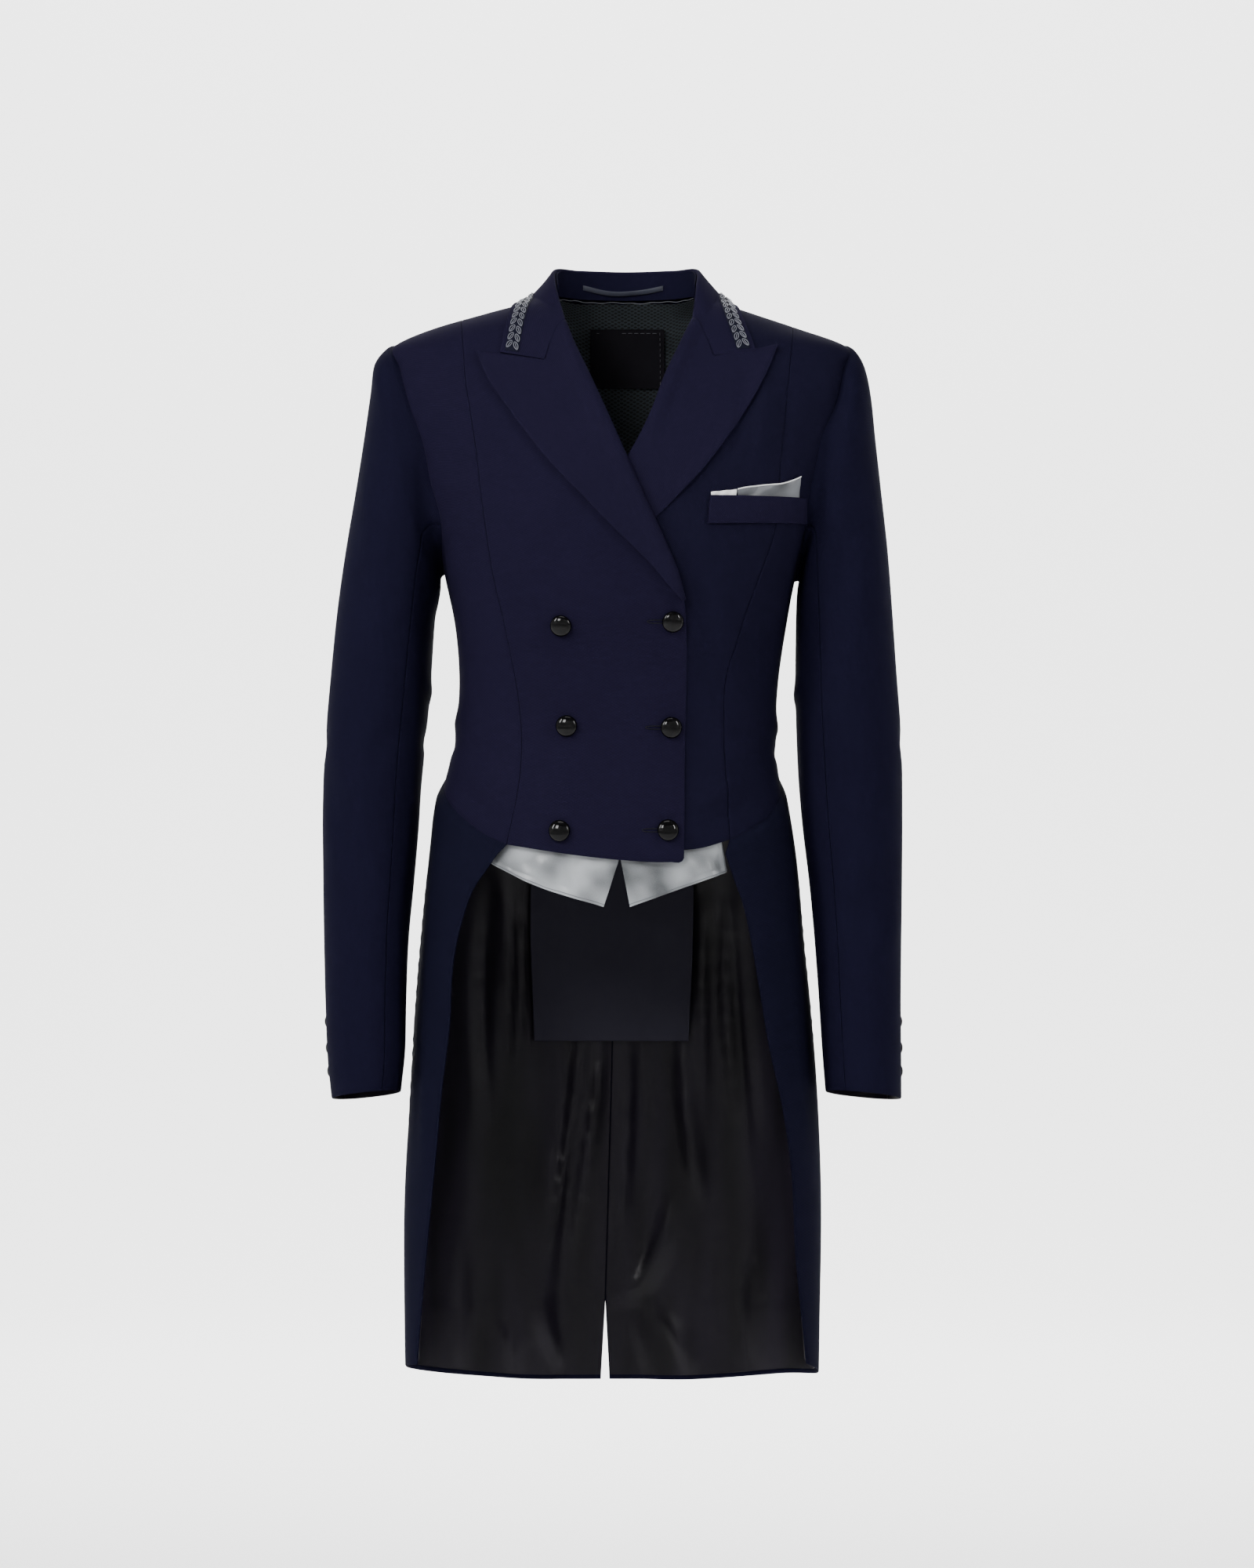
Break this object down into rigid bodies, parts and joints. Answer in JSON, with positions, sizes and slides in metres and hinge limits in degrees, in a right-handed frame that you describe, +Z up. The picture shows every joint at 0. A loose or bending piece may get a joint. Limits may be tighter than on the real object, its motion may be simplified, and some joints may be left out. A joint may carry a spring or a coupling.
{
  "type": "dressage tailcoat",
  "caption": "Women's double-breasted riding tailcoat with peaked lapels, a braid-trimmed collar, long sleeves and knee-length tails, filled out as if worn and hollow.",
  "frame": {"origin": "between the shoulders at the base of the neck, where the coat hangs on its wearer", "axes": "+Z up, the coat's front faces -Y, the wearer's left is +X"},
  "size_m": [0.488, 0.2357, 0.9466],
  "materials": {
    "navy_wool": "fine matt wool twill",
    "black_satin": "soft satin",
    "matte_black": "matt cloth",
    "silver_satin": "satin",
    "white_cotton": "matt cotton",
    "charcoal_mesh": "knitted mesh",
    "black_button": "polished"
  },
  "bodies": {
    "root": {"back_neck_lining": "charcoal_mesh", "blank_label": "matte_black", "collar_fall": "navy_wool", "collar_stand": "navy_wool", "front_button_1": "black_button", "front_button_2": "black_button", "front_button_3": "black_button", "front_button_4": "black_button", "front_button_5": "black_button", "front_button_6": "black_button", "hanger_loop": "navy_wool", "inner_panel": "matte_black", "leaf_braid": "silver_satin", "left_back": "navy_wool", "left_cuff_button_1": "black_button", "left_cuff_button_2": "black_button", "left_cuff_button_3": "black_button", "left_front": "navy_wool", "left_lapel": "navy_wool", "left_side_back": "navy_wool", "left_side_front": "navy_wool", "left_tail": "navy_wool", "left_tail_lining": "black_satin", "left_top_sleeve": "navy_wool", "left_under_sleeve": "navy_wool", "left_waistcoat_point": "silver_satin", "pocket_square_silver": "silver_satin", "pocket_square_white": "white_cotton", "pocket_welt": "navy_wool", "right_back": "navy_wool", "right_cuff_button_1": "black_button", "right_cuff_button_2": "black_button", "right_cuff_button_3": "black_button", "right_front": "navy_wool", "right_lapel": "navy_wool", "right_side_back": "navy_wool", "right_side_front": "navy_wool", "right_tail": "navy_wool", "right_tail_lining": "black_satin", "right_top_sleeve": "navy_wool", "right_under_sleeve": "navy_wool", "right_waistcoat_point": "silver_satin"}
  },
  "joints": []
}
